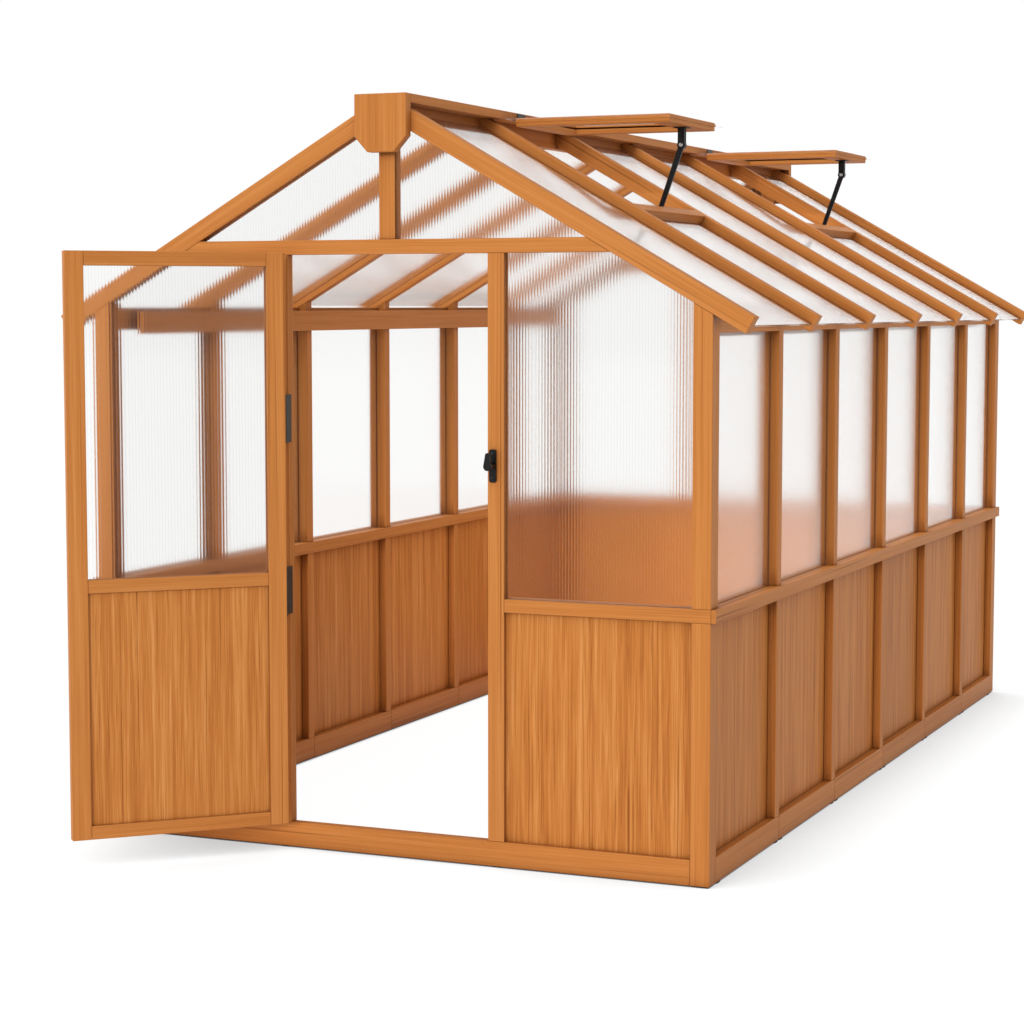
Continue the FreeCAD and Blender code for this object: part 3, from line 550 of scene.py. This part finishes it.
def round_heads(name, spots, out, radius, body, finish, slotted):
    """Domed heads standing on a face, one at each spot, closed by a crown or by a cross-shaped slot."""
    shape = bmesh.new()
    side = out.orthogonal().normalized()
    rise = out.cross(side)

    def ring(spot, shares, height):
        made = []
        for k, share in enumerate(shares):
            turn = 2 * math.pi * k / HEAD_SIDES
            flat = side * math.cos(turn) + rise * math.sin(turn)
            made.append(shape.verts.new(spot + (flat * share + out * height) * radius))
        return made

    for spot in spots:
        rings = [ring(spot, [share] * HEAD_SIDES, height) for share, height in HEAD_ROUND]
        top = HEAD_ROUND[-1][1]
        if slotted:
            cross = [SLOT_LONG if k % 4 == 0 else SLOT_NARROW for k in range(HEAD_SIDES)]
            rings += [ring(spot, cross, top), ring(spot, cross, SLOT_FLOOR)]
        else:
            rings.append(ring(spot, [CROWN_SHARE] * HEAD_SIDES, top + CROWN_RISE))
        for low, high in zip(rings, rings[1:]):
            for k in range(HEAD_SIDES):
                after = (k + 1) % HEAD_SIDES
                shape.faces.new((low[k], low[after], high[after], high[k])).smooth = not slotted
        shape.faces.new(rings[0][::-1])
        shape.faces.new(rings[-1])
    bmesh.ops.recalc_face_normals(shape, faces=shape.faces[:])
    piece = piece_from(name, shape, [finish])
    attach(piece, body)


STAY_PIVOT = Vector((0.557, 0.0, 2.082))
CHEEK_FACE = 0.0085
VENT_LEAF_TOP = 2.1645
VENT_LEAF_SCREW_X = 0.107
VENT_HINGE_APART = 0.150
VENT_SCREW_APART = 0.018
for vent in ("front", "rear"):
    vent_low, vent_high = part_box(vent + "_vent_stiles")
    middle = (vent_low.y + vent_high.y) / 2
    for end, out in (("near", OUT_FRONT), ("far", OUT_REAR)):
        spot = STAY_PIVOT + ALONG_HOUSE * middle + out * CHEEK_FACE
        round_heads(vent + "_stay_rivet_" + end, [spot], out, RIVET_RADIUS, vent + "_vent", bright_zinc,
                    False)
    places = [middle + a * VENT_HINGE_APART + b * VENT_SCREW_APART for a in (-1, 1) for b in (-1, 1)]
    spots = [Vector((VENT_LEAF_SCREW_X, y, VENT_LEAF_TOP)) for y in places]
    round_heads(vent + "_vent_hinge_screws", spots, UPRIGHT, SCREW_RADIUS, vent + "_vent", bright_zinc,
                True)


# Door: a joinery frame with a fluted sheet above the lock rail and a board panel below it.
# It hangs on the left door post and stands wide open at rest.
DOOR_OPEN = math.radians(-135)
ACROSS_DOOR = Vector((math.cos(DOOR_OPEN), math.sin(DOOR_OPEN), 0))
OUT_DOOR = Vector((math.sin(DOOR_OPEN), -math.cos(DOOR_OPEN), 0))
planed(["door_stiles"], timber_upright)
planed(["door_rails"], timber(ACROSS_DOOR))
planed(["door_boards"], boards_upright, BOARD_EASE)
fluted("door_glazing", ["door_sheet"], "door", UPRIGHT, OUT_DOOR, sheet_finish)


# Door hinges: two plain butt hinges of bare steel, dulled by handling.
# Each has one leaf on the door post, one on the door's stile, and a pin through the knuckles of both.
STEEL_DARK = (40, 38, 36)
STEEL_LIGHT = (84, 80, 75)
bare_steel = speckled("hinge_steel", STEEL_DARK, STEEL_LIGHT, speck=0.006, smooth=0.3, rough=0.48,
                      metal=0.9, dimple=0.0001)
coated(["door_jamb_leaves", "door_hinge_leaves", "door_hinge_pins"], bare_steel)


# Latch: a black turn latch, a plate screwed to the latch post with a lever on a pin.
# The lever points up at rest and turns across the door's edge to hold it shut.
coated(["latch_plate", "latch_lever"], black_steel)
PLATE_FRONT = 0.008
PLATE_SCREW_IN = 0.012
plate_low, plate_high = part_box("latch_plate")
plate_x = (plate_low.x + plate_high.x) / 2
plate_y = plate_high.y - PLATE_FRONT
plate_heights = (plate_low.z + PLATE_SCREW_IN, plate_high.z - PLATE_SCREW_IN)
plate_spots = [Vector((plate_x, plate_y, z)) for z in plate_heights]
round_heads("latch_screws", plate_spots, OUT_FRONT, SCREW_RADIUS, FRAME_BODY, bare_steel, True)


# Studio: a white floor that shows the lamps' shadows faintly and, to the camera, a painted contact shadow,
#  a white surround, a soft key light from the front with a fill from the front right, and wide soft lights
#  from both sides and above. Three lamps inside the house, never seen themselves, lift the shade there.
FLOOR_HALF = 60.0
SURROUND_LIGHT = 0.22
KEY_LIGHT = 1.3
KEY_SOFTNESS = math.radians(14)
KEY_FROM = Vector((0.0, -0.975, 0.21))
FILL_LIGHT = 0.58
FILL_FROM = Vector((0.45, -0.83, 0.25))
FILL_SOFTNESS = math.radians(40)
RIGHT_LIGHT = 0.45
RIGHT_FROM = Vector((0.85, 0.35, 0.4))
LEFT_LIGHT = 1.6
LEFT_FROM = Vector((-0.95, 0.0, 0.4))
SIDE_SOFTNESS = math.radians(60)
TOP_LIGHT = 0.9
TOP_FROM = Vector((0.0, -0.2, 1.0))
RIDGE_LAMP = 3.0
FLOOR_LAMP = 4.5
INSIDE_SIZE = (1.2, 2.4)
INSIDE_BACK = 0.55
INSIDE_LOW = 0.03
INSIDE_HIGH = 1.95
REAR_LAMP = 2.5
REAR_LAMP_AT = (0.0, -1.2, 0.7)
REAR_LAMP_SIZE = (1.3, 0.5)
REAR_LAMP_TURNED = math.radians(86)
REAR_LAMP_SPREAD = math.radians(50)
# Painted shadow: reach, lean and grey ramp of the ambient occlusion that darkens the floor's glow near the
# house.
PAINTED_SHADOW_REACH = 0.6
PAINTED_SHADOW_LEAN = {"X": 0.0, "Y": -0.3, "Z": 0.95}
PAINTED_SHADOW_TONES = [(0.03, 0.0), (0.15, 0.08), (0.3, 0.42), (0.44, 0.58), (0.56, 0.71), (0.66, 0.84),
                 (0.78, 0.955)]
FLOOR_SHOWN = (0.1, 0.1, 0.1, 1.0)
FLOOR_PLAIN = (0.75, 0.75, 0.75, 1.0)
INSIDE_HALF = 0.9
INSIDE_FRONT = -1.52


def seen_directly(tree):
    """One for rays from the camera, a mirror or a clear sheet, nought for light that falls on things."""
    path = put(tree, "ShaderNodeLightPath", {}).outputs
    seen = reckon(tree, "MAXIMUM", path["Is Camera Ray"], path["Is Glossy Ray"])
    return reckon(tree, "MAXIMUM", seen, path["Is Transmission Ray"])


floor_mesh = bpy.data.meshes.new("floor")
corners = [(-FLOOR_HALF, -FLOOR_HALF, 0), (FLOOR_HALF, -FLOOR_HALF, 0),
           (FLOOR_HALF, FLOOR_HALF, 0), (-FLOOR_HALF, FLOOR_HALF, 0)]
floor_mesh.from_pydata(corners, [], [(0, 1, 2, 3)])
floor = bpy.data.objects.new("floor", floor_mesh)
bpy.context.scene.collection.objects.link(floor)
floor_finish, floor_tree, _ = finish_named("white_floor_painted_shadow")
shown = put(floor_tree, "ShaderNodeBsdfDiffuse", {"Color": FLOOR_SHOWN}).outputs["BSDF"]
# Painted shadow: to the camera the floor glows grey-to-white over ambient occlusion, darker near the house
# and under the door, and plain white inside the house.
lean = put(floor_tree, "ShaderNodeCombineXYZ", PAINTED_SHADOW_LEAN).outputs["Vector"]
near = put(floor_tree, "ShaderNodeAmbientOcclusion", {"Distance": PAINTED_SHADOW_REACH, "Normal": lean},
           samples=32)
spot_on_floor = put(floor_tree, "ShaderNodeTexCoord", {}).outputs["Object"]
apart = put(floor_tree, "ShaderNodeSeparateXYZ", {"Vector": spot_on_floor}).outputs
off_ridge = put(floor_tree, "ShaderNodeMath", {0: apart["X"]}, operation="ABSOLUTE").outputs["Value"]
between = reckon(floor_tree, "LESS_THAN", off_ridge, INSIDE_HALF)
behind = reckon(floor_tree, "GREATER_THAN", apart["Y"], INSIDE_FRONT)
indoors = reckon(floor_tree, "MULTIPLY", between, behind)
clear = reckon(floor_tree, "MAXIMUM", near.outputs["AO"], indoors)
painted_floor_shadow = tones(floor_tree, clear, [(place, (grey, grey, grey, 1.0)) for place, grey in PAINTED_SHADOW_TONES])
glow = put(floor_tree, "ShaderNodeEmission", {"Color": painted_floor_shadow, "Strength": 1.0}).outputs["Emission"]
lit = put(floor_tree, "ShaderNodeAddShader", {0: shown, 1: glow}).outputs["Shader"]
plain = put(floor_tree, "ShaderNodeBsdfDiffuse", {"Color": FLOOR_PLAIN}).outputs["BSDF"]
floor_mix = put(floor_tree, "ShaderNodeMixShader", {"Fac": seen_directly(floor_tree), 1: plain, 2: lit})
floor_tree.links.new(floor_mix.outputs["Shader"], floor_tree.nodes["Material Output"].inputs["Surface"])
floor_mesh.materials.append(floor_finish)

surround = bpy.data.worlds.new("white_surround")
surround.use_nodes = True
sky_tree = surround.node_tree
sky = sky_tree.nodes["Background"]
sky.inputs["Color"].default_value = (1.0, 1.0, 1.0, 1.0)
level = put(sky_tree, "ShaderNodeMapRange",
            {"Value": seen_directly(sky_tree), "To Min": SURROUND_LIGHT, "To Max": 1.0})
sky_tree.links.new(level.outputs["Result"], sky.inputs["Strength"])
bpy.context.scene.world = surround


def soft_light(name, strength, softness, comes_from):
    """A wide, even light from one direction, which leaves no glare on the timber."""
    lamp = bpy.data.objects.new(name, bpy.data.lights.new(name, "SUN"))
    lamp.data.energy = strength
    lamp.data.angle = softness
    lamp.rotation_euler = comes_from.to_track_quat("Z", "Y").to_euler()
    lamp.visible_glossy = False
    bpy.context.scene.collection.objects.link(lamp)


soft_light("key_light", KEY_LIGHT, KEY_SOFTNESS, KEY_FROM)
soft_light("fill_light", FILL_LIGHT, FILL_SOFTNESS, FILL_FROM)
soft_light("right_light", RIGHT_LIGHT, SIDE_SOFTNESS, RIGHT_FROM)
soft_light("left_light", LEFT_LIGHT, SIDE_SOFTNESS, LEFT_FROM)
soft_light("top_light", TOP_LIGHT, SIDE_SOFTNESS, TOP_FROM)


def inside_light(name, strength, place, turned, size, spread):
    """A broad soft lamp that lifts the shade inside the house, and is never seen itself."""
    lamp = bpy.data.objects.new(name, bpy.data.lights.new(name, "AREA"))
    lamp.data.energy = strength
    lamp.data.shape = "RECTANGLE"
    lamp.data.size, lamp.data.size_y = size
    lamp.data.spread = spread
    lamp.location = place
    lamp.rotation_euler = (turned, 0.0, 0.0)
    lamp.visible_camera = False
    lamp.visible_glossy = False
    lamp.visible_transmission = False
    bpy.context.scene.collection.objects.link(lamp)


ridge_low, ridge_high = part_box("ridge_beam")
inside_y = (ridge_low.y + ridge_high.y) / 2 + INSIDE_BACK
for name, strength, height, turned in (("lamp_under_ridge", RIDGE_LAMP, INSIDE_HIGH, 0.0),
                                       ("lamp_over_floor", FLOOR_LAMP, INSIDE_LOW, math.pi)):
    inside_light(name, strength, (0.0, inside_y, height), turned, INSIDE_SIZE, math.pi)
inside_light("lamp_to_rear", REAR_LAMP, REAR_LAMP_AT, REAR_LAMP_TURNED, REAR_LAMP_SIZE,
             REAR_LAMP_SPREAD)


# Camera: a long lens on the front right corner, at the height and angle of the photograph.
# It is set from the front face of the sills, and looks slightly down.
LENS = 84.04
SENSOR = 36.0
SEES_AS_FAR_AS = 200.0
EYE_RIGHT = 3.0181
EYE_BEFORE_FRONT = 6.1034
EYE_HEIGHT = 1.5853
DEGREES_DOWN = 4.91
DEGREES_LEFT = 23.30
front_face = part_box("front_sills")[0].y
camera = bpy.data.objects.new("camera", bpy.data.cameras.new("camera"))
camera.data.lens = LENS
camera.data.sensor_width = SENSOR
camera.data.clip_end = SEES_AS_FAR_AS
camera.location = (EYE_RIGHT, front_face - EYE_BEFORE_FRONT, EYE_HEIGHT)
camera.rotation_euler = (math.radians(90 - DEGREES_DOWN), 0.0, math.radians(DEGREES_LEFT))
bpy.context.scene.collection.objects.link(camera)
bpy.context.scene.camera = camera
bpy.context.scene.view_settings.view_transform = "Standard"
